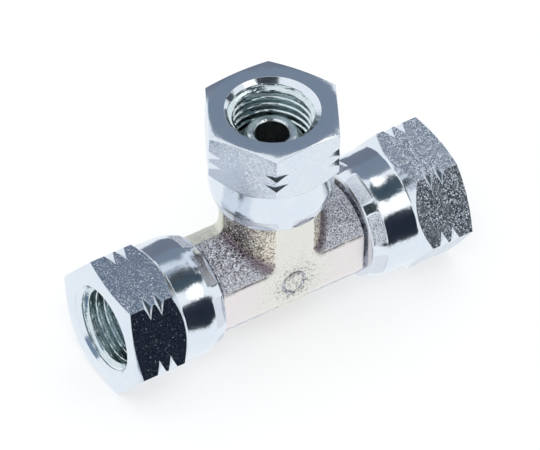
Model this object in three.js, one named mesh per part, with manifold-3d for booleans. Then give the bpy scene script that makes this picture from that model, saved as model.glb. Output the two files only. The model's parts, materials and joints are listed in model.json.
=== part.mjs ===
// Swivel tee adaptor: one forged tee whose three arms each carry a crimped-on hexagon nut.
//
// Millimetres, +Z up. The run lies along X and the branch points up +Z. The origin is the middle of
// the bounding box's bottom, straight below the point where the axes of the three arms cross.
//
// Everything that belongs to an arm is drawn along that arm's own +Z, with its height measured from
// the crossing of the axes. A group then turns the arm into its place.

import * as THREE from "three";
import { mergeVertices } from "three/addons/utils/BufferGeometryUtils.js";
import Module from "manifold-3d";

const wasm = await Module();
wasm.setup();

const radians = THREE.MathUtils.degToRad;

// ---------------------------------------------------------------- driving dimensions

const FACETS = 32; // straight pieces in a full circle
const THREAD_FACETS = 20; // straight pieces in one turn of the thread
const BEYOND = 2; // how far a cutting shape runs past what it cuts
const OVERLAP = 0.05; // how far each arm runs past the crossing, so that the arms join there

// Parallel pipe thread G 1/4, 19 threads to the inch.
const PITCH = 25.4 / 19;
const MAJOR_RADIUS = 13.157 / 2;
const MINOR_RADIUS = 11.445 / 2;
const THREAD_FLANK = radians(27.5); // half of the 55 degree thread form
const THREAD_ROOT = 0.1; // how far a ridge is rooted in the nut's wall

// The tee.
const ARM_RADIUS = 7.55;
const ARM_LENGTH = 12.35; // crossing of the axes to the shoulder behind a nut
const ARM_CHAMFER = 0.4;
const BODY_THICKNESS = 13.45; // across the two flat faces
const FLUID_RADIUS = 2.55;
const FLUID_CHAMFER = 0.25;
const NECK_RADIUS = 5.6;
const COLLAR_RADIUS = 6.6;
const COLLAR_REAR = 14; // mouth face to the collar's rear edge, which bears on the crimped skirt
const COLLAR_FRONT = 9.9;
const NOSE_TIP_RADIUS = 3.68;
const NOSE_HALF_ANGLE = radians(30);
const NOSE_SHANK_RADIUS = 5.2;
const NOSE_DEPTH = 4.4; // nose tip below the nut's mouth face
const MARK_RADIUS = 2; // plain round dimple in the middle of one flat face
const MARK_DEPTH = 0.15;

// The nuts.
const MOUTH = 29.3; // crossing of the axes to a nut's mouth face
const NUT_LENGTH = 16.55;
const ACROSS_FLATS = 19;
const FACE_CIRCLE_RADIUS = 9.25; // where the front chamfer starts
const FRONT_CHAMFER_LENGTH = 0.5; // mouth face to the start of the six corner edges
const HEX_LENGTH = 7.53; // mouth face to the end of the six corner edges
const SKIRT_START = 9;
const SKIRT_RADIUS = 9.28;
const DOME_START = 12.7; // the skirt bends inwards from here
const DOME_RADIUS = 8.03; // radius of that bend, seen from the side
const GROOVES = [3.63, 5.54]; // two V grooves around the corners, from the mouth face
const GROOVE_ROOT_RADIUS = 10.09;
const GROOVE_HALF_WIDTH = 0.75; // at a corner edge
const COUNTERSINK_RADIUS = 7.06;
const THREAD_DEPTH = 8.9; // mouth face to the end of the thread
const CAVITY_RADIUS = 7; // turned room behind the thread, where the collar sits
const REAR_OPENING_RADIUS = 6;
const CAVITY_DEPTH = 13.25; // mouth face to where the cavity starts to close behind the collar
const CRIMPS = 8;
const CRIMP_LENGTH = 2.1; // of one pressed bar, along the skirt
const CRIMP_DEPTH = 0.4;
const CRIMP_POSITION = 15.25; // mouth face to the middle of the bars

// How far the nuts are turned at rest: a corner, and the middle of a pressed bar.
const LEFT_TURN = { corner: radians(20.6), crimp: radians(16.4) };
const RIGHT_TURN = { corner: radians(34.7), crimp: radians(16) };
const BRANCH_TURN = { corner: 0, crimp: radians(3) };

// ---------------------------------------------------------------- worked out from them

const CORNER_RADIUS = ACROSS_FLATS / 2 / Math.cos(radians(30));
const BLANK_RADIUS = CORNER_RADIUS + 0.1; // turned bar that the hexagon is cut from
const NUT_REAR = MOUTH - NUT_LENGTH;
const NOSE_TIP = MOUTH - NOSE_DEPTH;
const AXIS_HEIGHT = CORNER_RADIUS * Math.cos(LEFT_TURN.corner); // left nut's lowest corner at z = 0

// ---------------------------------------------------------------- geometry helpers

/** A closed three.js geometry as a manifold-3d solid. */
function solid(geometry) {
  geometry.deleteAttribute("normal");
  geometry.deleteAttribute("uv");
  const merged = mergeVertices(geometry);
  const triVerts = Uint32Array.from(merged.index.array);
  return new wasm.Manifold(
    new wasm.Mesh({ numProp: 3, vertProperties: merged.attributes.position.array, triVerts }),
  );
}

/** A manifold-3d solid as a named, flat-shaded three.js mesh. */
function namedMesh(name, shape, material) {
  const { vertProperties, triVerts } = shape.getMesh();
  const indexed = new THREE.BufferGeometry();
  indexed.setAttribute("position", new THREE.BufferAttribute(vertProperties, 3));
  indexed.setIndex(new THREE.BufferAttribute(triVerts, 1));
  const geometry = indexed.toNonIndexed();
  geometry.computeVertexNormals();
  const mesh = new THREE.Mesh(geometry, material);
  mesh.name = name;
  return mesh;
}

/** Turns a profile of [radius, height] points about Z. It runs up on the outside. */
function turned(profile) {
  const points = profile.map(([radius, height]) => new THREE.Vector2(radius, height));
  return solid(new THREE.LatheGeometry(points, FACETS).rotateX(Math.PI / 2));
}

/** A straight round bar along Z. */
function bar(radius, from, to) {
  return turned([[0, from], [radius, from], [radius, to], [0, to]]);
}

/** A shape drawn along an arm's +Z, turned into the place of the left arm. */
function toLeft(shape) {
  return shape.rotate([0, -90, 0]);
}

/** The same for the right arm. */
function toRight(shape) {
  return shape.rotate([0, 90, 0]);
}

// ---------------------------------------------------------------- the tee

/** The forged outside: two run arms and the branch, with a flat face at the front and the back. */
function forging() {
  const arm = turned([
    [0, -OVERLAP],
    [ARM_RADIUS, -OVERLAP],
    [ARM_RADIUS, ARM_LENGTH - ARM_CHAMFER],
    [ARM_RADIUS - ARM_CHAMFER, ARM_LENGTH],
    [0, ARM_LENGTH],
  ]);
  const slab = new THREE.BoxGeometry(4 * ARM_LENGTH, BODY_THICKNESS, 4 * ARM_LENGTH);
  const mark = bar(MARK_RADIUS, BODY_THICKNESS / 2 - MARK_DEPTH, BODY_THICKNESS).rotate([90, 0, 0]);
  return arm.add(toLeft(arm)).add(toRight(arm)).intersect(solid(slab)).subtract(mark);
}

/** The turned end of one arm: neck, retaining collar, shank and cone nose. */
function armEnd() {
  const collarRear = MOUTH - COLLAR_REAR;
  const collarFront = MOUTH - COLLAR_FRONT;
  const collarStep = COLLAR_RADIUS - NECK_RADIUS;
  const shankEnd = NOSE_TIP - (NOSE_SHANK_RADIUS - NOSE_TIP_RADIUS) / Math.tan(NOSE_HALF_ANGLE);
  return turned([
    [0, 0],
    [NECK_RADIUS, 0],
    [NECK_RADIUS, collarRear],
    [COLLAR_RADIUS, collarRear + collarStep],
    [COLLAR_RADIUS, collarFront - collarStep],
    [NOSE_SHANK_RADIUS, collarFront],
    [NOSE_SHANK_RADIUS, shankEnd],
    [NOSE_TIP_RADIUS, NOSE_TIP],
    [0, NOSE_TIP],
  ]);
}

/** The room that one fluid bore takes, with a small chamfer at the nose tip. */
function fluidBore() {
  const chamferStart = NOSE_TIP - FLUID_CHAMFER;
  return turned([
    [0, -OVERLAP],
    [FLUID_RADIUS, -OVERLAP],
    [FLUID_RADIUS, chamferStart],
    [FLUID_RADIUS + FLUID_CHAMFER + BEYOND, NOSE_TIP + BEYOND],
    [0, NOSE_TIP + BEYOND],
  ]);
}

function teeBody() {
  const end = armEnd();
  const bore = fluidBore();
  const ends = end.add(toLeft(end)).add(toRight(end));
  const bores = bore.add(toLeft(bore)).add(toRight(bore));
  return forging().add(ends).subtract(bores);
}

// ---------------------------------------------------------------- the nuts

/** Where a cone leaves the blank: it rises from [radius, depth] through a corner edge's end. */
function depthAtBlank([radius, depth], cornerDepth) {
  const share = (BLANK_RADIUS - radius) / (CORNER_RADIUS - radius);
  return depth + share * (cornerDepth - depth);
}

/** The nut's outside as turned: chamfers, V grooves, skirt and the bend behind it. */
function nutBlank() {
  const grooves = GROOVES.toReversed().flatMap((depth) => {
    const root = [GROOVE_ROOT_RADIUS, depth];
    return [
      [BLANK_RADIUS, MOUTH - depthAtBlank(root, depth + GROOVE_HALF_WIDTH)],
      [GROOVE_ROOT_RADIUS, MOUTH - depth],
      [BLANK_RADIUS, MOUTH - depthAtBlank(root, depth - GROOVE_HALF_WIDTH)],
    ];
  });
  const bend = [];
  const bendSteps = 4;
  const bendAngle = Math.asin((NUT_LENGTH - DOME_START) / DOME_RADIUS);
  for (let step = 0; step <= bendSteps; step += 1) {
    const angle = bendAngle * (1 - step / bendSteps);
    const radius = SKIRT_RADIUS - DOME_RADIUS * (1 - Math.cos(angle));
    bend.push([radius, MOUTH - DOME_START - DOME_RADIUS * Math.sin(angle)]);
  }
  return turned([
    [0, NUT_REAR],
    ...bend,
    [SKIRT_RADIUS, MOUTH - SKIRT_START],
    [BLANK_RADIUS, MOUTH - depthAtBlank([SKIRT_RADIUS, SKIRT_START], HEX_LENGTH)],
    ...grooves,
    [BLANK_RADIUS, MOUTH - depthAtBlank([FACE_CIRCLE_RADIUS, 0], FRONT_CHAMFER_LENGTH)],
    [FACE_CIRCLE_RADIUS, MOUTH],
    [0, MOUTH],
  ]);
}

/** A hexagonal prism longer than the nut, with one corner on local +X. */
function hexagon() {
  const corners = Array.from({ length: 6 }, (_, side) => {
    const angle = radians(60 * side);
    return new THREE.Vector2(CORNER_RADIUS * Math.cos(angle), CORNER_RADIUS * Math.sin(angle));
  });
  const depth = NUT_LENGTH + 2 * BEYOND;
  const prism = new THREE.ExtrudeGeometry(new THREE.Shape(corners), { depth, bevelEnabled: false });
  return solid(prism.translate(0, 0, NUT_REAR - BEYOND));
}

/** The nut's hollow, with the given radius over the threaded stretch. */
function nutOpening(threadRadius) {
  const threadEnd = MOUTH - THREAD_DEPTH;
  const cavityRear = MOUTH - CAVITY_DEPTH;
  const seatStep = CAVITY_RADIUS - REAR_OPENING_RADIUS;
  const countersink = COUNTERSINK_RADIUS - threadRadius;
  return turned([
    [0, NUT_REAR - BEYOND],
    [REAR_OPENING_RADIUS, NUT_REAR - BEYOND],
    [REAR_OPENING_RADIUS, cavityRear - seatStep],
    [CAVITY_RADIUS, cavityRear],
    [CAVITY_RADIUS, threadEnd - (CAVITY_RADIUS - threadRadius)],
    [threadRadius, threadEnd],
    [threadRadius, MOUTH - countersink],
    [COUNTERSINK_RADIUS + BEYOND, MOUTH + BEYOND],
    [0, MOUTH + BEYOND],
  ]);
}

/** A right-handed helix about Z whose frames keep pointing straight out from the axis. */
class ThreadPath extends THREE.Curve {
  constructor(radius, from, turns) {
    super();
    this.radius = radius;
    this.from = from;
    this.turns = turns;
  }

  getPoint(t, target = new THREE.Vector3()) {
    const angle = 2 * Math.PI * this.turns * t;
    const height = this.from + PITCH * this.turns * t;
    return target.set(this.radius * Math.cos(angle), this.radius * Math.sin(angle), height);
  }

  computeFrenetFrames(segments) {
    const frames = { tangents: [], normals: [], binormals: [] };
    for (let step = 0; step <= segments; step += 1) {
      const angle = (2 * Math.PI * this.turns * step) / segments;
      frames.tangents.push(new THREE.Vector3(-Math.sin(angle), Math.cos(angle), 0));
      frames.normals.push(new THREE.Vector3(Math.cos(angle), Math.sin(angle), 0));
      frames.binormals.push(new THREE.Vector3(0, 0, -1));
    }
    return frames;
  }
}

/** The thread's ridge as one long helical rib, rooted just inside the nut's wall. */
function threadRidge() {
  const height = MAJOR_RADIUS - MINOR_RADIUS;
  const crest = (PITCH / 2 - height * Math.tan(THREAD_FLANK)) / 2;
  const foot = crest + (height + THREAD_ROOT) * Math.tan(THREAD_FLANK);
  const section = new THREE.Shape([
    new THREE.Vector2(-height, -crest),
    new THREE.Vector2(THREAD_ROOT, -foot),
    new THREE.Vector2(THREAD_ROOT, foot),
    new THREE.Vector2(-height, crest),
  ]);
  const turns = Math.ceil(THREAD_DEPTH / PITCH) + 1;
  const extrudePath = new ThreadPath(MAJOR_RADIUS, MOUTH - THREAD_DEPTH - PITCH / 2, turns);
  return solid(new THREE.ExtrudeGeometry(section, { steps: turns * THREAD_FACETS, extrudePath }));
}

/** The flat bars pressed into the bent skirt, which close it behind the tee's collar. */
function crimpBars(turn) {
  const slope = Math.asin((CRIMP_POSITION - DOME_START) / DOME_RADIUS);
  const surfaceRadius = SKIRT_RADIUS - DOME_RADIUS * (1 - Math.cos(slope));
  const height = MOUTH - CRIMP_POSITION;
  const bars = Array.from({ length: CRIMPS }, (_, index) => {
    const thickness = 2;
    const box = new THREE.BoxGeometry(thickness, SKIRT_RADIUS, CRIMP_LENGTH);
    box.translate(thickness / 2 - CRIMP_DEPTH, 0, 0);
    box.rotateY(slope);
    box.translate(surfaceRadius, 0, height);
    box.rotateZ(turn + (index * 2 * Math.PI) / CRIMPS);
    return solid(box);
  });
  return bars.reduce((all, one) => all.add(one));
}

function swivelNut(turn) {
  const turnDegrees = THREE.MathUtils.radToDeg(turn.corner);
  const outside = nutBlank().intersect(hexagon().rotate([0, 0, turnDegrees]));
  const clearOfRidge = nutOpening(MINOR_RADIUS - THREAD_ROOT);
  const ridge = threadRidge().subtract(clearOfRidge);
  return outside.subtract(crimpBars(turn.crimp)).subtract(nutOpening(MAJOR_RADIUS)).add(ridge);
}

// ---------------------------------------------------------------- materials

function forgedZinc() {
  return new THREE.MeshStandardMaterial({ color: 0xc9c6c4, roughness: 0.5, metalness: 0.9 });
}

function brightZinc() {
  return new THREE.MeshStandardMaterial({ color: 0xc3ccd3, roughness: 0.2, metalness: 1 });
}

// ---------------------------------------------------------------- assembly

/** A group for one arm: its local +Z is turned about Y by the given angle. */
function armGroup(angle, ...meshes) {
  const group = new THREE.Group();
  group.rotation.y = angle;
  group.add(...meshes);
  return group;
}

const tee = new THREE.Group();
tee.position.z = AXIS_HEIGHT;
tee.add(
  namedMesh("tee_body", teeBody(), forgedZinc()),
  armGroup(-Math.PI / 2, namedMesh("left_nut", swivelNut(LEFT_TURN), brightZinc())),
  armGroup(Math.PI / 2, namedMesh("right_nut", swivelNut(RIGHT_TURN), brightZinc())),
  armGroup(0, namedMesh("branch_nut", swivelNut(BRANCH_TURN), brightZinc())),
);

const fitting = new THREE.Group();
fitting.add(tee);

export default fitting;
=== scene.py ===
"""The looks of a swivel tee adaptor: one zinc-plated forged tee with three crimped-on hexagon nuts.

Every CAD node is replaced by a finer mesh of the same size. Lengths inside the mesh builders are in
millimetres and are scaled once, when a mesh is made. An arm's own frame has its origin where the axes
of the arms cross, and its +Z runs out along the arm.
"""

import json
import math

import bmesh
import bpy
import numpy as np
from mathutils import Matrix, Vector, noise


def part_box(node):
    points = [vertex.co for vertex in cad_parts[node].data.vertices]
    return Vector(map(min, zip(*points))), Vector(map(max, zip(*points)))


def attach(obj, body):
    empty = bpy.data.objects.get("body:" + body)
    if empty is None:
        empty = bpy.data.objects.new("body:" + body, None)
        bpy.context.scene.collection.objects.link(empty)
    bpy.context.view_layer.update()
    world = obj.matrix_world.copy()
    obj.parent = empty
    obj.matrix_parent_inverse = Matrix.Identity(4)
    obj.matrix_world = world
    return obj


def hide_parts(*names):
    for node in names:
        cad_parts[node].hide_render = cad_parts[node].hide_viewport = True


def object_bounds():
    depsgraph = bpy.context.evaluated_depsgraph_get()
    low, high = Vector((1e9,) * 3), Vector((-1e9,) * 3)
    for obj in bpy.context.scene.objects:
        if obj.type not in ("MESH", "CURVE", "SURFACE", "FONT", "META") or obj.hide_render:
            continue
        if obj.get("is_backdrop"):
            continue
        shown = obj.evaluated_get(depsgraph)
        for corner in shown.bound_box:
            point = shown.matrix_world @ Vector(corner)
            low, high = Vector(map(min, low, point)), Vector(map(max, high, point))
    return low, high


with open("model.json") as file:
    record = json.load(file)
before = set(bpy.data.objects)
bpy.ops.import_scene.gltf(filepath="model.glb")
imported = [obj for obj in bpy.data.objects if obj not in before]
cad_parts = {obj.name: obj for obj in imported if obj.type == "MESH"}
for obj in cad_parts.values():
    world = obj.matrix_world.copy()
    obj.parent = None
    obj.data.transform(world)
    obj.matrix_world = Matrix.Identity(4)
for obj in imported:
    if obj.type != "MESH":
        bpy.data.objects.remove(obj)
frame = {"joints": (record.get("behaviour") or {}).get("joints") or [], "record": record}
cad_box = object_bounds()

MM = 0.001
TURN = 2 * math.pi


# ------------------------------------------------------------------ sizes, from the frame

def mount(name):
    """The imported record's mount of this name."""
    return next(m for m in frame["record"]["mounts"] if m["name"] == name)


def size_mm(node, axis):
    """How long a CAD node is along one axis, in millimetres."""
    low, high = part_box(node)
    return (high[axis] - low[axis]) / MM


CROSSING = Vector(next(j for j in frame["joints"] if j["name"] == "branch_nut_swivel")["pos_m"])
MOUTH = (mount("branch_port")["pos_m"][2] - CROSSING.z) / MM
NUT_REAR = (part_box("branch_nut")[0].z - CROSSING.z) / MM
NUT_LENGTH = MOUTH - NUT_REAR
NOSE_TIP = (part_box("tee_body")[1].z - CROSSING.z) / MM
ACROSS_FLATS = size_mm("branch_nut", 1)
FLAT_FACE = size_mm("tee_body", 1) / 2

# Sizes that the frame's boxes don't show, in millimetres. First the nuts: a depth is measured from the
# nut's mouth face, and GROOVES, CRIMP_POSITION and the lengths with START in them are such depths.
CORNER_RADIUS = ACROSS_FLATS / 2 / math.cos(math.radians(30))
PITCH = 25.4 / 19
MAJOR_RADIUS = 13.157 / 2
MINOR_RADIUS = 11.445 / 2
COUNTERSINK_RADIUS = 7.06
COUNTERSINK_DEPTH = 0.8
THREAD_DEPTH = 8.9
THREAD_RUN_OUT = 0.5
THREAD_FLANK = 2.4  # how steep the thread's sides are between its round crests and roots
CAVITY_RADIUS = 7.0  # the turned room behind the thread, where the collar sits
CAVITY_DEPTH = 13.25
REAR_OPENING_RADIUS = 6.0
FACE_CIRCLE_RADIUS = 9.25  # where the front chamfer starts
FRONT_CHAMFER = 0.5
HEX_LENGTH = 7.53  # mouth face to the end of the six corner edges
SKIRT_RADIUS = 9.28
SKIRT_START = 9.0
SKIRT_SHOULDER = (0.08, 0.25)  # the turned edge where the skirt starts: its height and its length
DOME_START = 12.7  # the skirt bends inwards from here
DOME_RADIUS = 8.03  # radius of that bend, seen from the side
GROOVES = (3.63, 5.54)
GROOVE_ROOT_RADIUS = 10.09
GROOVE_HALF_WIDTH = 0.75
CRIMPS = 8
CRIMP_DEPTH = 0.38
CRIMP_POSITION = 15.25
CRIMP_HALF_LENGTH = 1.0
CRIMP_RIM = 0.1
REAR_ROUNDING = 0.4

# Then the tee.
ARM_RADIUS = 7.55
BRANCH_RADIUS = 7.45
SHOULDER = 12.35  # crossing of the axes to the shoulder behind a nut
SHOULDER_ROUNDING = 0.35
NECK_RADIUS = 5.6
COLLAR_RADIUS = 6.6
COLLAR_DEPTHS = (14.0, 9.9)
SHANK_RADIUS = 5.2
NOSE_TIP_RADIUS = 3.68
NOSE_ROUNDING = 0.12
NOSE_HALF_ANGLE = math.radians(30)
FLUID_RADIUS = 2.55
FLUID_CHAMFER = 0.25

# How each arm's frame is turned, and how its nut is turned at rest: a corner and a pressed bar. All in
# degrees.
ARMS = {
    "left": {"tilt": -90, "corner": 20.6, "crimp": 16.4},
    "right": {"tilt": 90, "corner": 34.7, "crimp": 16.0},
    "branch": {"tilt": 0, "corner": 0.0, "crimp": 3.0},
}


def arm_matrix(arm):
    """From an arm's own frame to the part's frame, in metres."""
    return Matrix.Translation(CROSSING) @ Matrix.Rotation(math.radians(ARMS[arm]["tilt"]), 4, "Y")


# ------------------------------------------------------------------ mesh helpers

def add_object(name, data):
    """A new object in the scene that shows this mesh, lamp or camera."""
    obj = bpy.data.objects.new(name, data)
    bpy.context.scene.collection.objects.link(obj)
    return obj


def make_object(name, points, faces, slots=None):
    """An object from points in millimetres. slots holds one material index for each face."""
    mesh = bpy.data.meshes.new(name)
    mesh.from_pydata((np.asarray(points) * MM).tolist(), [], [list(map(int, f)) for f in faces])
    if slots is not None:
        mesh.polygons.foreach_set("material_index", np.asarray(slots, np.int32))
    return add_object(name, mesh)


def set_materials(obj, *materials):
    """Fills an object's material slots in this order."""
    for material in materials:
        obj.data.materials.append(material)


def finish_mesh(obj, sharp_degrees):
    """Merges points that coincide, points the faces out and sets which edges look sharp."""
    work = bmesh.new()
    work.from_mesh(obj.data)
    bmesh.ops.remove_doubles(work, verts=work.verts, dist=1e-3 * MM)
    bmesh.ops.dissolve_degenerate(work, edges=work.edges, dist=1e-3 * MM)
    bmesh.ops.recalc_face_normals(work, faces=work.faces)
    work.to_mesh(obj.data)
    work.free()
    obj.data.shade_smooth()
    obj.data.set_sharp_from_angle(angle=math.radians(sharp_degrees))


def ring_faces(rows, columns, closed_rows):
    """Quads of a grid whose columns close on themselves, and whose rows may do so too."""
    row = np.arange(rows if closed_rows else rows - 1)[:, None]
    column = np.arange(columns)[None, :]
    next_row = (row + 1) % rows
    next_column = (column + 1) % columns
    quads = np.stack(
        np.broadcast_arrays(
            row * columns + column,
            row * columns + next_column,
            next_row * columns + next_column,
            next_row * columns + column,
        ),
        axis=-1,
    )
    return quads.reshape(-1, 4)


def ring_points(radii, heights, angles):
    """Points of a grid of rows by columns, from each point's radius and height and column angles."""
    return np.stack(
        [radii * np.cos(angles), radii * np.sin(angles), heights * np.ones_like(radii)], axis=-1
    ).reshape(-1, 3)


# ------------------------------------------------------------------ the nuts

NUT_COLUMNS = 240
DOME_ROWS = 64
THREAD_ROWS = 130
NUT_SHARP_ANGLE = 24
TURNED, FLATS, THREAD = 0, 1, 2  # the nut's material slots


def hexagon_radius(angles):
    """Distance from the axis to the hexagon's side, for angles counted from one of its corners."""
    to_middle = np.mod(angles, TURN / 6) - TURN / 12
    return ACROSS_FLATS / 2 / np.cos(to_middle)


def dome_profile(steps):
    """The bent skirt from the nut's rear to where it becomes straight: radii and depths."""
    depths = np.linspace(NUT_LENGTH, DOME_START, steps)
    drop = DOME_RADIUS - np.sqrt(DOME_RADIUS**2 - (depths - DOME_START) ** 2)
    past_corner = np.maximum(depths - (NUT_LENGTH - REAR_ROUNDING), 0)
    rounding = REAR_ROUNDING - np.sqrt(REAR_ROUNDING**2 - past_corner**2)
    return SKIRT_RADIUS - drop - rounding, depths


def press_crimps(radii, depths, angles):
    """Flattens the bent skirt where the bars were pressed in, with a soft rim around each bar."""
    slope = math.asin((CRIMP_POSITION - DOME_START) / DOME_RADIUS)
    surface = SKIRT_RADIUS - DOME_RADIUS * (1 - math.cos(slope))
    to_middle = np.mod(angles + TURN / CRIMPS / 2, TURN / CRIMPS) - TURN / CRIMPS / 2
    behind = depths - CRIMP_POSITION
    plane = (surface - (CRIMP_DEPTH + behind * math.sin(slope)) / math.cos(slope)) / np.cos(to_middle)
    pressed = np.minimum(radii, plane)
    edge = CRIMP_HALF_LENGTH - np.abs(behind)
    share = np.clip(edge / CRIMP_RIM, 0, 1)
    return radii + (pressed - radii) * share * share * (3 - 2 * share)


def thread_radius(depths, angles):
    """The right-handed thread with its rounded crests and roots, run out into the countersink."""
    phase = np.mod((MOUTH - depths) / PITCH - angles / TURN, 1)
    wave = np.abs(2 * phase - 1) - 0.5
    rounded = np.sin(math.pi / 2 * np.clip(THREAD_FLANK * wave, -1, 1))
    thread = (MAJOR_RADIUS + MINOR_RADIUS + (MAJOR_RADIUS - MINOR_RADIUS) * rounded) / 2
    countersink = COUNTERSINK_RADIUS - depths
    run_out = CAVITY_RADIUS + depths - THREAD_DEPTH - THREAD_RUN_OUT
    return np.maximum(np.maximum(thread, countersink), np.minimum(run_out, CAVITY_RADIUS))


def nut_rows(corner_angles, crimp_angles):
    """The nut's surface as a closed loop of rows, each (radii, depths, slot of the band after it)."""
    flat = np.ones_like(corner_angles)
    hexagon = hexagon_radius(corner_angles)
    rows = [(REAR_OPENING_RADIUS * flat, NUT_LENGTH * flat, TURNED)]

    for radius, depth in zip(*dome_profile(DOME_ROWS)):
        rows.append((press_crimps(radius * flat, depth * flat, crimp_angles), depth * flat, TURNED))

    rear_slope = (SKIRT_START - HEX_LENGTH) / (CORNER_RADIUS - SKIRT_RADIUS)
    shoulder_height, shoulder_length = SKIRT_SHOULDER
    rows.append((SKIRT_RADIUS * flat, (SKIRT_START + shoulder_length) * flat, TURNED))
    rows.append(((SKIRT_RADIUS + shoulder_height) * flat, SKIRT_START * flat, TURNED))
    rows.append((hexagon, HEX_LENGTH + (CORNER_RADIUS - hexagon) * rear_slope, FLATS))

    groove_slope = GROOVE_HALF_WIDTH / (CORNER_RADIUS - GROOVE_ROOT_RADIUS)
    for depth in sorted(GROOVES, reverse=True):
        opening = np.maximum(hexagon - GROOVE_ROOT_RADIUS, 0) * groove_slope
        rows.append((hexagon, depth + opening, TURNED))
        rows.append((np.minimum(hexagon, GROOVE_ROOT_RADIUS), depth * flat, TURNED))
        rows.append((hexagon, depth - opening, FLATS))

    front_slope = FRONT_CHAMFER / (CORNER_RADIUS - FACE_CIRCLE_RADIUS)
    rows.append((hexagon, (hexagon - FACE_CIRCLE_RADIUS) * front_slope, TURNED))
    rows.append((FACE_CIRCLE_RADIUS * flat, 0 * flat, TURNED))

    for depth in np.linspace(0, THREAD_DEPTH + THREAD_RUN_OUT, THREAD_ROWS):
        slot = THREAD if depth > COUNTERSINK_DEPTH else TURNED
        rows.append((thread_radius(depth * flat, corner_angles), depth * flat, slot))
    rows.append((CAVITY_RADIUS * flat, CAVITY_DEPTH * flat, TURNED))
    seat_end = CAVITY_DEPTH + CAVITY_RADIUS - REAR_OPENING_RADIUS
    rows.append((REAR_OPENING_RADIUS * flat, seat_end * flat, TURNED))
    return rows


def swivel_nut(arm):
    """One nut, in its arm's own frame and turned as it is at rest."""
    from_corner = np.linspace(0, TURN, NUT_COLUMNS, endpoint=False)
    angles = from_corner + math.radians(ARMS[arm]["corner"])
    rows = nut_rows(from_corner, angles - math.radians(ARMS[arm]["crimp"]))
    radii = np.array([row[0] for row in rows])
    heights = MOUTH - np.array([row[1] for row in rows])
    points = ring_points(radii, heights, angles[None, :])
    faces = ring_faces(len(rows), NUT_COLUMNS, closed_rows=True)
    slots = np.repeat([row[2] for row in rows], NUT_COLUMNS)
    obj = make_object(f"{arm}_nut_finished", points, faces, slots)
    obj.matrix_world = arm_matrix(arm)
    finish_mesh(obj, NUT_SHARP_ANGLE)
    return obj


# ------------------------------------------------------------------ the tee

FORGED, MACHINED = 0, 1  # the tee's material slots
CELL = 0.17
EDGE_ROUNDING = 0.3
CROTCH_ROUNDING = 1.1
BRANCH_FOOT_ROUNDING = 0.1  # where the branch ends, inside the run
SETTLE_STEPS = 4
LAND_SIDES = (1.4, 5.0)  # where the trimmed flash land starts and ends, behind the middle
LAND_SOFTNESS = 0.15
LAND_HEIGHT = 0.12
NECK_JOIN = SHOULDER + 4 * CELL  # height where a machined end is joined to the forging
END_COLUMNS = 144
TEE_SHARP_ANGLE = 40
FIELD_STEP = 0.01  # how far apart a field is sampled to find its slope
MARK_RADIUS = 1.8
MARK_WIDTH = 0.3
MARK_DEPTH = 0.38
PIT_SPREAD = 4.8  # how far from the mark's middle the pits around it have mostly faded
SKIN_WAVES = ((0.9, 0.05), (2.6, 0.03))  # the forged skin's unevenness: waves to a mm, and their height
SKIN_SINK = 0.03  # how far the forged skin lies below the smooth surface
SKIN_MARGIN = 0.2  # the skin stays smooth this close to a shoulder


def soft_min(a, b, width):
    """The lower of two fields, with a rounding of about this width where they meet."""
    blend = np.maximum(width - np.abs(a - b), 0) / width
    return np.minimum(a, b) - blend * blend * width / 4


def soft_max(a, b, width):
    """The higher of two fields, rounded in the same way."""
    return -soft_min(-a, -b, width)


def forging_field(x, y, z):
    """Signed distance, roughly, to the forging with its shoulders, necks and fluid bores."""
    from_land = np.maximum(LAND_SIDES[0] - y, y - LAND_SIDES[1])
    land = LAND_HEIGHT * np.clip(0.5 - from_land / LAND_SOFTNESS, 0, 1)
    run = np.hypot(y, z) - ARM_RADIUS - land
    branch = soft_max(np.hypot(x, y) - BRANCH_RADIUS - land, -z, BRANCH_FOOT_ROUNDING)
    outside = soft_min(run, branch, CROTCH_ROUNDING)
    outside = soft_max(outside, np.abs(y) - FLAT_FACE, EDGE_ROUNDING)
    outside = soft_max(outside, np.maximum(np.abs(x), z) - SHOULDER, SHOULDER_ROUNDING)
    necks = np.minimum(np.hypot(y, z) - NECK_RADIUS, np.maximum(np.hypot(x, y) - NECK_RADIUS, -z))
    bores = np.minimum(np.hypot(y, z) - FLUID_RADIUS, np.maximum(np.hypot(x, y) - FLUID_RADIUS, -z))
    return np.maximum(np.minimum(outside, necks), -bores)


def surface_nets(values, origin, cell):
    """Points and quads of a sampled field's zero surface. It is left open at the grid's sides."""
    inside = values < 0
    shape = np.array(values.shape) - 1
    total = np.zeros(shape)
    count = np.zeros(shape, int)
    place = np.zeros((*shape, 3))
    offsets = [np.array(o) for o in np.ndindex(2, 2, 2)]

    def part(array, offset):
        return array[tuple(slice(o, o + n) for o, n in zip(offset, shape))]

    for start in offsets:
        for axis in range(3):
            if start[axis]:
                continue
            end = start.copy()
            end[axis] = 1
            crossed = part(inside, start) != part(inside, end)
            low, high = part(values, start)[crossed], part(values, end)[crossed]
            where = np.tile(start.astype(float), (len(low), 1))
            where[:, axis] += low / (low - high)
            place[crossed] += where
            count[crossed] += 1
    active = count > 0
    number = np.full(shape, -1)
    number[active] = np.arange(active.sum())
    cells = np.argwhere(active)
    points = (cells + place[active] / count[active][:, None]) * cell + origin
    quads = [edge_quads(inside, number, axis) for axis in range(3)]
    return points, np.concatenate(quads)


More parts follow.
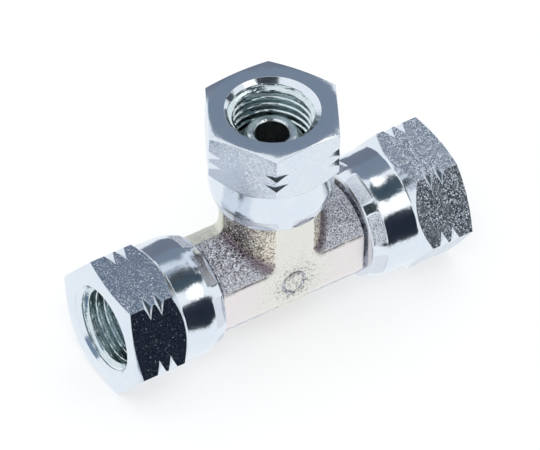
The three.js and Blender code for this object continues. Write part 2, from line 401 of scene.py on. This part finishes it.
def edge_quads(inside, number, axis):
    """The quads around every grid edge along one axis that the surface crosses."""
    first, second = (axis + 1) % 3, (axis + 2) % 3
    low = np.moveaxis(inside, (axis, first, second), (0, 1, 2))[:-1, 1:-1, 1:-1]
    high = np.moveaxis(inside, (axis, first, second), (0, 1, 2))[1:, 1:-1, 1:-1]
    cells = np.moveaxis(number, (axis, first, second), (0, 1, 2))
    crossed = low != high
    around = [cells[:, :-1, :-1], cells[:, 1:, :-1], cells[:, 1:, 1:], cells[:, :-1, 1:]]
    quads = np.stack([cell[crossed] for cell in around], axis=-1)
    outward = low[crossed]
    quads[~outward] = quads[~outward][:, ::-1]
    return quads


def settle_on_field(points, field, steps):
    """Moves points along the field's gradient until they lie on its zero surface."""
    steps_out = FIELD_STEP * np.eye(3)
    for _ in range(steps):
        value = field(*points.T)
        rises = [field(*(points + out).T) - field(*(points - out).T) for out in steps_out]
        slope = np.stack(rises, axis=-1) / (2 * FIELD_STEP)
        steepness = np.maximum((slope**2).sum(axis=1), 0.2)
        points = points - slope * (value / steepness)[:, None]
    return points


def arm_end_profile():
    """A machined arm end from inside the neck out over collar and nose and back down the bore."""
    collar_rear, collar_front = (MOUTH - depth for depth in COLLAR_DEPTHS)
    step = COLLAR_RADIUS - NECK_RADIUS
    cone = (SHANK_RADIUS - NOSE_TIP_RADIUS) / math.tan(NOSE_HALF_ANGLE)
    return [
        (NECK_RADIUS, NECK_JOIN),
        (NECK_RADIUS, collar_rear),
        (COLLAR_RADIUS, collar_rear + step),
        (COLLAR_RADIUS, collar_front - step),
        (SHANK_RADIUS, collar_front),
        (SHANK_RADIUS, NOSE_TIP - cone),
        (NOSE_TIP_RADIUS + NOSE_ROUNDING / 2, NOSE_TIP - NOSE_ROUNDING),
        (NOSE_TIP_RADIUS - NOSE_ROUNDING, NOSE_TIP),
        (FLUID_RADIUS + FLUID_CHAMFER, NOSE_TIP),
        (FLUID_RADIUS, NOSE_TIP - FLUID_CHAMFER),
        (FLUID_RADIUS, NECK_JOIN),
    ]


def forging_mesh():
    """Points and quads of the forging, open at each neck where a machined end is joined on."""
    low = np.array([-NECK_JOIN, -FLAT_FACE - 2 * CELL, -ARM_RADIUS - 2 * CELL])
    high = np.array([NECK_JOIN, FLAT_FACE + 2 * CELL, NECK_JOIN])
    axes = [np.arange(a, b + CELL / 2, CELL) for a, b in zip(low, high)]
    values = forging_field(*np.meshgrid(*axes, indexing="ij"))
    points, quads = surface_nets(values, low, CELL)
    return settle_on_field(points, forging_field, SETTLE_STEPS), quads


def roughen_forging(obj):
    """Gives the forging its uneven skin and, in the middle of the front face, a pitted round mark."""
    vertices = obj.data.vertices
    points = np.empty(len(vertices) * 3)
    normals = np.empty(len(vertices) * 3)
    vertices.foreach_get("co", points)
    obj.data.vertex_normals.foreach_get("vector", normals)
    points = points.reshape(-1, 3) / MM
    normals = normals.reshape(-1, 3)
    shifts = [skin_shift(Vector(point), abs(out[1]) > 0.6) for point, out in zip(points, normals)]
    points += normals * np.array(shifts)[:, None]
    vertices.foreach_set("co", (points * MM).ravel())
    obj.data.update()


def skin_shift(point, faces_front_or_back):
    """How far a point of the tee moves out of its smooth surface. Machined ends don't move."""
    x, y, z = point
    is_inside = math.hypot(y, z) < NECK_RADIUS or (z > 0 and math.hypot(x, y) < NECK_RADIUS)
    if is_inside or max(abs(x), z) > SHOULDER - SKIN_MARGIN:
        return 0
    if faces_front_or_back and abs(y) > FLAT_FACE - 0.1:
        return front_mark(x, z) if y < 0 else 0
    return sum(noise.noise(point * waves) * height for waves, height in SKIN_WAVES) - SKIN_SINK


def front_mark(x, z):
    """Depth of the plain round mark and of the faint pits scattered around it."""
    distance = math.hypot(x, z)
    worn = 0.7 + 0.6 * noise.noise(Vector((x * 0.7, 2.1, z * 0.7)))
    ring = -MARK_DEPTH * worn * math.exp(-(((distance - MARK_RADIUS) / MARK_WIDTH) ** 2))
    spread = math.exp(-((distance / PIT_SPREAD) ** 2))
    pit = noise.noise(Vector((x * 2.4, 7.3, z * 2.4)))
    return ring + min(0, 0.2 - abs(pit)) * 0.2 * spread


def machined_end(arm):
    """Points in the part's directions, and quads, of one arm's machined end as an open tube."""
    profile = np.array(arm_end_profile())
    angles = np.linspace(0, TURN, END_COLUMNS, endpoint=False)
    points = ring_points(profile[:, :1] * np.ones(END_COLUMNS), profile[:, 1:], angles)
    turn = np.array(arm_matrix(arm).to_3x3())
    return points @ turn.T, ring_faces(len(profile), END_COLUMNS, closed_rows=False)


def stitch_ends(obj):
    """Joins each machined end to the forging, at the neck and inside the fluid bore."""
    work = bmesh.new()
    work.from_mesh(obj.data)
    loops = {}
    for edge in work.edges:
        if edge.is_boundary:
            middle = (edge.verts[0].co + edge.verts[1].co) / 2
            arm = max(range(3), key=lambda axis: abs(middle[axis]))
            away = middle.copy()
            away[arm] = 0
            is_neck = away.length > (NECK_RADIUS + FLUID_RADIUS) / 2 * MM
            loops.setdefault((arm, middle[arm] > 0, is_neck), []).append(edge)
    for edges in loops.values():
        bmesh.ops.bridge_loops(work, edges=edges)
    work.to_mesh(obj.data)
    work.free()


def tee_skin():
    """The tee as one closed mesh: the forging with its three machined ends stitched on."""
    points, quads = forging_mesh()
    slots = [np.full(len(quads), FORGED)]
    for arm in ARMS:
        end_points, end_quads = machined_end(arm)
        quads = np.concatenate([quads, end_quads + len(points)])
        points = np.concatenate([points, end_points])
        slots.append(np.full(len(end_quads), MACHINED))
    obj = make_object("tee_body_finished", points, quads, np.concatenate(slots))
    stitch_ends(obj)
    finish_mesh(obj, TEE_SHARP_ANGLE)
    roughen_forging(obj)
    obj.matrix_world = Matrix.Translation(CROSSING)
    return obj


# ------------------------------------------------------------------ materials

class Paint:
    """One material's node tree, with short ways to add nodes. Lengths in it are millimetres."""

    def __init__(self, name):
        self.material = bpy.data.materials.new(name)
        self.material.use_nodes = True
        self.tree = self.material.node_tree
        self.tree.nodes.clear()
        coordinates = self.node("ShaderNodeTexCoord").outputs["Object"]
        scaled = self.node("ShaderNodeVectorMath", {0: coordinates, 3: 1 / MM}, operation="SCALE")
        self.place = scaled.outputs[0]
        self.x, self.y, self.z = self.split(self.place)

    def node(self, kind, inputs=None, **settings):
        """A new node. Its inputs are set to plain values or linked to other nodes' outputs."""
        node = self.tree.nodes.new(kind)
        for name, value in settings.items():
            setattr(node, name, value)
        for key, value in (inputs or {}).items():
            if isinstance(value, bpy.types.NodeSocket):
                self.tree.links.new(value, node.inputs[key])
            else:
                node.inputs[key].default_value = value
        return node

    def split(self, vector):
        """A vector's three numbers."""
        return self.node("ShaderNodeSeparateXYZ", {0: vector}).outputs[:]

    def join(self, x, y, z):
        """The vector made of three numbers."""
        return self.node("ShaderNodeCombineXYZ", {0: x, 1: y, 2: z}).outputs[0]

    def math(self, operation, a, b=0.0):
        """A sum, product or other calculation with one or two numbers."""
        return self.node("ShaderNodeMath", {0: a, 1: b}, operation=operation).outputs[0]

    def noise(self, size, detail=2.0, place=None):
        """Smooth noise from 0 to 1 whose lumps are about this size."""
        inputs = {"Vector": place or self.place, "Scale": 1 / size, "Detail": detail}
        return self.node("ShaderNodeTexNoise", inputs).outputs["Fac"]

    def step(self, value, low, high):
        """From 0 at low to 1 at high, smoothly. low may be the larger one."""
        inputs = {"Value": value, "From Min": low, "From Max": high}
        return self.node("ShaderNodeMapRange", inputs, interpolation_type="SMOOTHSTEP").outputs[0]

    def between(self, share, a, b):
        """The number a where share is 0 and b where it is 1."""
        return self.node("ShaderNodeMix", {0: share, 2: a, 3: b}).outputs[0]

    def blend(self, share, a, b):
        """The colour a where share is 0 and b where it is 1."""
        colours = [(*c, 1) if isinstance(c, tuple) else c for c in (a, b)]
        inputs = {0: share, 6: colours[0], 7: colours[1]}
        return self.node("ShaderNodeMix", inputs, data_type="RGBA").outputs[2]

    def bump(self, height, depth, normal=None):
        """A normal bent by a height from 0 to 1 that stands for this depth."""
        inputs = {"Height": height, "Distance": depth * MM}
        if normal is not None:
            inputs["Normal"] = normal
        return self.node("ShaderNodeBump", inputs).outputs[0]

    def tilt(self, directions, amount, normal):
        """Leans a normal by vectors between 0 and 1. amount is how far, at most, in radians."""
        centred = self.vector("SUBTRACT", directions, (0.5, 0.5, 0.5))
        double = self.math("MULTIPLY", amount, 2.0)
        lean = self.node("ShaderNodeVectorMath", {0: centred, 3: double}, operation="SCALE")
        return self.vector("NORMALIZE", self.vector("ADD", normal, lean.outputs[0]))

    def vector(self, operation, a, b=(0, 0, 0)):
        """The same with one or two vectors."""
        return self.node("ShaderNodeVectorMath", {0: a, 1: b}, operation=operation).outputs[0]

    def length(self, vector):
        return self.node("ShaderNodeVectorMath", {0: vector}, operation="LENGTH").outputs[1]

    def facets(self, size, amount, normal):
        """A blasted or etched grain: small crystals of about this size, each leaning its own way."""
        inputs = {"Vector": self.place, "Scale": 1 / size}
        crystals = self.node("ShaderNodeTexVoronoi", inputs).outputs["Color"]
        return self.tilt(crystals, amount, normal)

    def grain(self, size, amount, normal):
        """A soft unevenness of about this size."""
        inputs = {"Vector": self.place, "Scale": 1 / size, "Detail": 2.0}
        return self.tilt(self.node("ShaderNodeTexNoise", inputs).outputs["Color"], amount, normal)

    def specks(self, strength):
        """Small dull spots in the plating: a share between 0 and this strength."""
        return self.math("MULTIPLY", self.step(self.noise(0.16), 0.62, 0.42), strength)

    def rounded_edges(self, radius):
        """A normal that makes sharp edges look rounded with this radius."""
        return self.node("ShaderNodeBevel", {"Radius": radius * MM}, samples=4).outputs[0]

    def geometry_normal(self):
        return self.node("ShaderNodeNewGeometry").outputs["Normal"]

    def around_axis(self):
        """The distance from Z, and the angle about it."""
        squares = self.math("ADD", self.math("POWER", self.x, 2.0), self.math("POWER", self.y, 2.0))
        return self.math("SQRT", squares), self.math("ARCTAN2", self.y, self.x)

    def metal(self, colour, roughness, normal):
        """Ends the tree with a bare metal surface and returns the material."""
        inputs = {"Base Color": colour, "Metallic": 1.0, "Roughness": roughness, "Normal": normal}
        surface = self.node("ShaderNodeBsdfPrincipled", inputs)
        self.node("ShaderNodeOutputMaterial", {"Surface": surface.outputs[0]})
        return self.material


# The tints of the plating and of the stains on it, and the dark colours painted as shade on the
# branch's sides and in the crotch.
PLATING_TINTS_AND_PAINTED_SHADE = {
    "blue": (0.76, 0.84, 0.92),
    "silver": (0.88, 0.89, 0.91),
    "green": (0.60, 0.70, 0.70),
    "teal": (0.78, 0.85, 0.87),
    "cream": (0.90, 0.86, 0.80),
    "lilac": (0.92, 0.83, 0.85),
    "yellow": (0.88, 0.87, 0.77),
    "gold": (0.95, 0.87, 0.74),
    # Painted shade, not plating: the next two darken the branch's sides and the crotch.
    "painted_flank_brown": (0.16, 0.14, 0.14),
    "painted_crotch_purple": (0.22, 0.15, 0.17),
    "grey": (0.66, 0.66, 0.72),
    "steel": (0.50, 0.53, 0.60),
}


def turned_zinc():
    """Bright plating over a lathe-turned surface, duller where the crimping bars pressed it."""
    paint = Paint("turned_zinc")
    radius, angle = paint.around_axis()
    rings = paint.join(radius, paint.math("MULTIPLY", angle, 0.5), paint.z)
    pressed = crimp_mask(paint, radius)
    clouds = paint.noise(3.0, 3.0)
    colour = paint.blend(clouds, PLATING_TINTS_AND_PAINTED_SHADE["blue"], PLATING_TINTS_AND_PAINTED_SHADE["silver"])
    colour = paint.blend(paint.specks(0.12), colour, PLATING_TINTS_AND_PAINTED_SHADE["steel"])
    colour = paint.blend(paint.math("MULTIPLY", pressed, 0.5), colour, PLATING_TINTS_AND_PAINTED_SHADE["grey"])
    spots = paint.step(paint.noise(0.35, 4.0), 0.5, 0.75)
    dulled = paint.math("MULTIPLY", pressed, 0.06)
    roughness = paint.math("ADD", paint.between(spots, 0.13, 0.21), dulled)
    normal = paint.bump(paint.noise(0.12, 3.0, rings), 0.0003, paint.rounded_edges(0.08))
    normal = paint.grain(1.6, 0.03, normal)
    normal = paint.grain(0.22, paint.between(pressed, 0.05, 0.12), normal)
    return paint.metal(colour, roughness, normal)


def crimp_mask(paint, radius):
    """1 where the skirt's bend lies deeper than it was turned, 0 elsewhere."""
    behind = paint.math("ADD", paint.z, DOME_START - MOUTH)
    square = paint.math("MULTIPLY", behind, behind)
    rise = paint.math("SQRT", paint.math("SUBTRACT", DOME_RADIUS**2, square))
    turned_radius = paint.math("ADD", rise, SKIRT_RADIUS - DOME_RADIUS)
    missing = paint.math("SUBTRACT", turned_radius, radius)
    return paint.math("MULTIPLY", paint.step(missing, 0.02, 0.07), paint.step(behind, -0.9, -1.1))


def hexagon_zinc(name, crystals, lean, haze, spotting):
    """Plated bar stock: an etched and spotted grain, and fine scratches along and across the bar."""
    paint = Paint(name)
    along = paint.join(paint.x, paint.y, paint.math("MULTIPLY", paint.z, 0.08))
    slanted = paint.math("ADD", paint.z, paint.math("MULTIPLY", paint.x, 0.4))
    across = paint.join(paint.math("MULTIPLY", paint.x, 0.1), paint.y, slanted)
    scratches = paint.math("ADD", paint.noise(0.1, 2.0, along), paint.noise(0.07, 2.0, across))
    clouds = paint.noise(2.6, 4.0)
    tint = paint.blend(clouds, PLATING_TINTS_AND_PAINTED_SHADE["blue"], PLATING_TINTS_AND_PAINTED_SHADE["silver"])
    colour = paint.blend(paint.specks(spotting), tint, PLATING_TINTS_AND_PAINTED_SHADE["steel"])
    roughness = paint.between(clouds, haze, haze + 0.06)
    normal = paint.bump(scratches, 0.0014, paint.rounded_edges(0.1))
    normal = paint.grain(2.4, 0.02, normal)
    nicks = paint.math("MULTIPLY", paint.step(paint.noise(0.16), 0.65, 0.77), 0.5)
    lean_here = paint.math("ADD", paint.between(clouds, lean, lean * 0.6), nicks)
    normal = paint.facets(crystals, lean_here, normal)
    return paint.metal(colour, roughness, normal)


def thread_zinc():
    """The cut thread: greener and darker, with the tool's marks along each turn."""
    paint = Paint("thread_zinc")
    radius, angle = paint.around_axis()
    rings = paint.join(radius, paint.math("MULTIPLY", angle, 0.7), paint.z)
    colour = paint.blend(paint.noise(1.2, 3.0), PLATING_TINTS_AND_PAINTED_SHADE["green"], PLATING_TINTS_AND_PAINTED_SHADE["teal"])
    normal = paint.bump(paint.noise(0.1, 3.0, rings), 0.004)
    normal = paint.grain(0.3, 0.12, normal)
    return paint.metal(colour, paint.between(paint.noise(0.5, 2.0), 0.08, 0.18), normal)


def machined_zinc():
    """The tee's turned arm ends: plated like the nuts, but duller."""
    paint = Paint("machined_zinc")
    radius, angle = paint.around_axis()
    rings = paint.join(radius, angle, paint.z)
    colour = paint.blend(paint.noise(1.5, 2.0), PLATING_TINTS_AND_PAINTED_SHADE["teal"], PLATING_TINTS_AND_PAINTED_SHADE["silver"])
    normal = paint.bump(paint.noise(0.15, 3.0, rings), 0.004)
    return paint.metal(colour, 0.22, paint.grain(0.25, 0.3, normal))


def forged_zinc():
    """The forging: shot-blasted and sparkling on its round parts, smoother on flats and flash land."""
    paint = Paint("forged_zinc")
    flat = paint.step(paint.math("ABSOLUTE", paint.y), FLAT_FACE - 0.25, FLAT_FACE - 0.05)
    land = flash_land(paint)
    smooth = paint.math("MAXIMUM", flat, land)
    from_mark = paint.length(paint.join(paint.x, 0.0, paint.z))
    smooth_colour = paint.blend(land, flat_colour(paint, from_mark), PLATING_TINTS_AND_PAINTED_SHADE["yellow"])
    colour = paint.blend(smooth, blasted_colour_and_shade(paint), smooth_colour)
    roughness = paint.between(flat, paint.between(land, 0.12, 0.6), 0.32)
    return paint.metal(colour, roughness, blasted_normal(paint, smooth, land, from_mark))


def blasted_normal(paint, smooth, land, from_mark):
    """A coarse sparkling grain on the round parts, and a faint one on flats and flash land."""
    pitted = paint.step(from_mark, 5.5, 1.5)
    pitted = paint.math("MULTIPLY", pitted, paint.step(paint.y, 0.0, -1.0))
    smooth_lean = paint.between(paint.math("MAXIMUM", pitted, land), 0.05, 0.35)
    normal = paint.facets(0.17, paint.between(smooth, 0.9, smooth_lean), paint.geometry_normal())
    normal = paint.grain(0.12, paint.between(smooth, 1.0, 0.15), normal)
    return paint.grain(0.9, paint.between(smooth, 0.5, 0.06), normal)


def blasted_colour_and_shade(paint):
    """Grey specks on the run, warm ones mixed with painted shade on the branch's sides, painted shade
    in the crotch.
    """
    to_run, to_branch = arm_distances(paint)
    speckle = paint.step(paint.noise(0.15, 3.0), 0.46, 0.64)
    run_colour = paint.blend(speckle, PLATING_TINTS_AND_PAINTED_SHADE["grey"], PLATING_TINTS_AND_PAINTED_SHADE["silver"])
    # Painted shade: dark specks among the cream ones darken the branch's sides; towards the flat faces
    # gold takes over.
    branch_colour = paint.blend(speckle, PLATING_TINTS_AND_PAINTED_SHADE["painted_flank_brown"], PLATING_TINTS_AND_PAINTED_SHADE["cream"])
    towards_flat = paint.step(paint.math("ABSOLUTE", paint.y), 2.5, FLAT_FACE - 0.6)
    branch_colour = paint.blend(towards_flat, branch_colour, PLATING_TINTS_AND_PAINTED_SHADE["gold"])
    on_branch = paint.step(paint.math("SUBTRACT", to_run, to_branch), 0.1, 0.9)
    colour = paint.blend(on_branch, run_colour, branch_colour)

    # Painted shade: the crotch where the branch rises from the run is darkened towards a dark violet.
    from_crotch = paint.math("SUBTRACT", paint.math("MAXIMUM", to_run, to_branch), ARM_RADIUS)
    above = paint.step(paint.z, 0.0, 2.0)
    in_crotch = paint.math("MULTIPLY", above, paint.step(from_crotch, 1.3, 0.2))
    crotch_shade = paint.math("MULTIPLY", in_crotch, 0.8)
    return paint.blend(crotch_shade, colour, PLATING_TINTS_AND_PAINTED_SHADE["painted_crotch_purple"])


def flat_colour(paint, from_mark):
    """Yellowish at the crossing and lilac along the run, with dull pits around the front mark."""
    from_crossing = paint.step(paint.math("ABSOLUTE", paint.x), 3.0, 9.0)
    colour = paint.blend(from_crossing, PLATING_TINTS_AND_PAINTED_SHADE["yellow"], PLATING_TINTS_AND_PAINTED_SHADE["lilac"])
    colour = paint.blend(paint.noise(1.8, 3.0), colour, PLATING_TINTS_AND_PAINTED_SHADE["cream"])
    pits = paint.step(paint.noise(0.25), 0.58, 0.68)
    pits = paint.math("MULTIPLY", pits, paint.step(from_mark, 11.0, 2.0))
    return paint.blend(pits, colour, PLATING_TINTS_AND_PAINTED_SHADE["steel"])


def flash_land(paint):
    """1 on the trimmed flash land along the outline, 0 elsewhere."""
    start, end = LAND_SIDES
    starts = paint.step(paint.y, start - LAND_SOFTNESS, start)
    return paint.math("MULTIPLY", starts, paint.step(paint.y, end + LAND_SOFTNESS, end))


def arm_distances(paint):
    """How far a point is from the run's axis and from the branch's."""
    squares = [paint.math("MULTIPLY", axis, axis) for axis in (paint.x, paint.y, paint.z)]
    to_run = paint.math("SQRT", paint.math("ADD", squares[1], squares[2]))
    to_branch = paint.math("SQRT", paint.math("ADD", squares[0], squares[1]))
    return to_run, to_branch


# How each nut's bar stock looks: its crystals' size in millimetres, how far they lean in radians, its
# lowest roughness, and how strongly it is spotted.
HEXAGON_GRAIN = {
    "left": {"crystals": 0.15, "lean": 0.085, "haze": 0.1, "spotting": 1.0},
    "right": {"crystals": 0.17, "lean": 0.26, "haze": 0.24, "spotting": 0.8},
    "branch": {"crystals": 0.15, "lean": 0.05, "haze": 0.15, "spotting": 0.2},
}


# ------------------------------------------------------------------ stage, light and camera

FLOOR_HALF_WIDTH = 3.0


def stage_object(name, work):
    """An object of the stage, from its shape as a bmesh."""
    mesh = bpy.data.meshes.new(name)
    work.to_mesh(mesh)
    work.free()
    return add_object(name, mesh)


def studio_floor():
    """A wide pale floor under the part."""
    work = bmesh.new()
    bmesh.ops.create_grid(work, x_segments=1, y_segments=1, size=FLOOR_HALF_WIDTH)
    floor = stage_object("floor", work)
    floor.visible_glossy = False
    paint = Paint("pale_floor")
    inputs = {
        "Base Color": (0.50, 0.50, 0.49, 1),
        "Roughness": 0.9,
        "Specular IOR Level": 0.1,
        "Emission Color": (1, 1, 1, 1),
        "Emission Strength": 0.52,
    }
    surface = paint.node("ShaderNodeBsdfPrincipled", inputs)
    paint.node("ShaderNodeOutputMaterial", {"Surface": surface.outputs[0]})
    set_materials(floor, paint.material)
    floor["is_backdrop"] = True


# The cards hung around the part, which only the plating mirrors: where each hangs, seen from the
# crossing as degrees to the right of the front and degrees above the floor, how wide it looks from
# there as degrees from its middle to its rim, and its colour.
CARDS = {
    "front_card": {"right": 20, "up": 1, "reach": 28, "colour": (0.017, 0.023, 0.038)},
    "gap_card": {"right": 62, "up": 60, "reach": 21, "colour": (0.045, 0.075, 0.10)},
    "overhead_card": {"right": 141, "up": 49, "reach": 22, "colour": (0.21, 0.26, 0.335)},
    "right_card": {"right": 79, "up": 25, "reach": 11, "colour": (0.05, 0.065, 0.08)},
    "wall_card": {"right": 155, "up": 18, "reach": 24, "colour": (0.18, 0.21, 0.27)},
    "side_card": {"right": -95, "up": 19, "reach": 19, "colour": (0.20, 0.27, 0.36)},
    "low_card": {"right": -98, "up": -38, "reach": 12, "colour": (0.15, 0.22, 0.31)},
    "camera_card": {"right": -18, "up": 51, "reach": 19, "colour": (0.04, 0.05, 0.06)},
    "front_lamp": {"right": 24, "up": 41, "reach": 13, "colour": (1.35, 1.35, 1.33)},
    "rear_lamp": {"right": 96, "up": 60, "reach": 11, "colour": (1.35, 1.35, 1.33)},
}
CARD_DISTANCE = 0.25
CARD_FADE = 0.9  # the share of a card's radius where it starts to fade
TENT_COLOUR = (0.93, 0.965, 1.0)


def hang_card(name, right, up, reach, colour):
    """A round card facing the part, fading at its rim into the white tent behind it."""
    right, up, reach = (math.radians(angle) for angle in (right, up, reach))
    out = Vector((math.sin(right) * math.cos(up), -math.cos(right) * math.cos(up), math.sin(up)))
    radius = CARD_DISTANCE * math.tan(reach)
    work = bmesh.new()
    bmesh.ops.create_circle(work, cap_ends=True, segments=64, radius=radius)
    card = stage_object(name, work)
    card.location = CROSSING + out * CARD_DISTANCE
    card.rotation_euler = out.to_track_quat("Z", "Y").to_euler()
    card.visible_camera = False
    card.visible_diffuse = False
    card.visible_shadow = False
    paint = Paint(name)
    rim = paint.step(paint.length(paint.place), radius / MM * CARD_FADE, radius / MM)
    glow = paint.node("ShaderNodeEmission", {0: paint.blend(rim, colour, TENT_COLOUR)})
    paint.node("ShaderNodeOutputMaterial", {"Surface": glow.outputs[0]})
    set_materials(card, paint.material)
    card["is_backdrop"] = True


def studio_world():
    """A white light tent."""
    world = bpy.data.worlds.new("tent")
    world.use_nodes = True
    world.node_tree.nodes["Background"].inputs["Color"].default_value = (*TENT_COLOUR, 1)
    bpy.context.scene.world = world


def key_light():
    """One large soft lamp, above and in front of the part on the left."""
    data = bpy.data.lights.new("key", "AREA")
    data.shape = "DISK"
    data.size = 0.35
    data.energy = 0.8
    lamp = add_object("key", data)
    lamp.location = CROSSING + Vector((-0.25, -0.35, 0.6))
    lamp.rotation_euler = (CROSSING - lamp.location).to_track_quat("-Z", "Y").to_euler()
    lamp.visible_camera = False
    lamp.visible_glossy = False


# The photograph's view. Angles are in degrees, the distance is in metres and the picture's middle is
# given as millimetres to the right of the crossing and above it, as the camera sees them.
VIEW_AZIMUTH, VIEW_ELEVATION, VIEW_ROLL = -34.25, 43.47, 1.35
VIEW_DISTANCE = 1.3085
VIEW_MIDDLE = (0.12, 4.53)
FOCAL_LENGTH = 593.3


def photo_camera():
    """The photograph's view: from the front left and above, almost without perspective."""
    azimuth, elevation, roll = (math.radians(a) for a in (VIEW_AZIMUTH, VIEW_ELEVATION, VIEW_ROLL))
    back = Vector(
        (
            math.sin(azimuth) * math.cos(elevation),
            -math.cos(azimuth) * math.cos(elevation),
            math.sin(elevation),
        )
    )
    level = Vector((math.cos(azimuth), math.sin(azimuth), 0))
    upright = back.cross(level)
    right = level * math.cos(roll) + upright * math.sin(roll)
    up = upright * math.cos(roll) - level * math.sin(roll)
    data = bpy.data.cameras.new("camera")
    data.sensor_width = 36
    data.lens = FOCAL_LENGTH
    data.clip_end = 20
    camera = add_object("camera", data)
    middle = CROSSING + (right * VIEW_MIDDLE[0] + up * VIEW_MIDDLE[1]) * MM
    place = Matrix((right, up, back)).transposed().to_4x4()
    place.translation = middle + back * VIEW_DISTANCE
    camera.matrix_world = place
    bpy.context.scene.camera = camera


# ------------------------------------------------------------------ the scene

turned, thread = turned_zinc(), thread_zinc()
tee = tee_skin()
set_materials(tee, forged_zinc(), machined_zinc())
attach(tee, "tee")
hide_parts("tee_body")
for arm in ARMS:
    nut = swivel_nut(arm)
    set_materials(nut, turned, hexagon_zinc(f"hexagon_zinc_{arm}", **HEXAGON_GRAIN[arm]), thread)
    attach(nut, f"{arm}_swivel")
    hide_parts(f"{arm}_nut")

studio_floor()
studio_world()
for card, settings in CARDS.items():
    hang_card(card, **settings)
key_light()
photo_camera()
bpy.context.scene.view_settings.view_transform = "Standard"

boxes = {"cad": cad_box, "visual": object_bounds()}
{name: [list(corner) for corner in box] for name, box in boxes.items()}
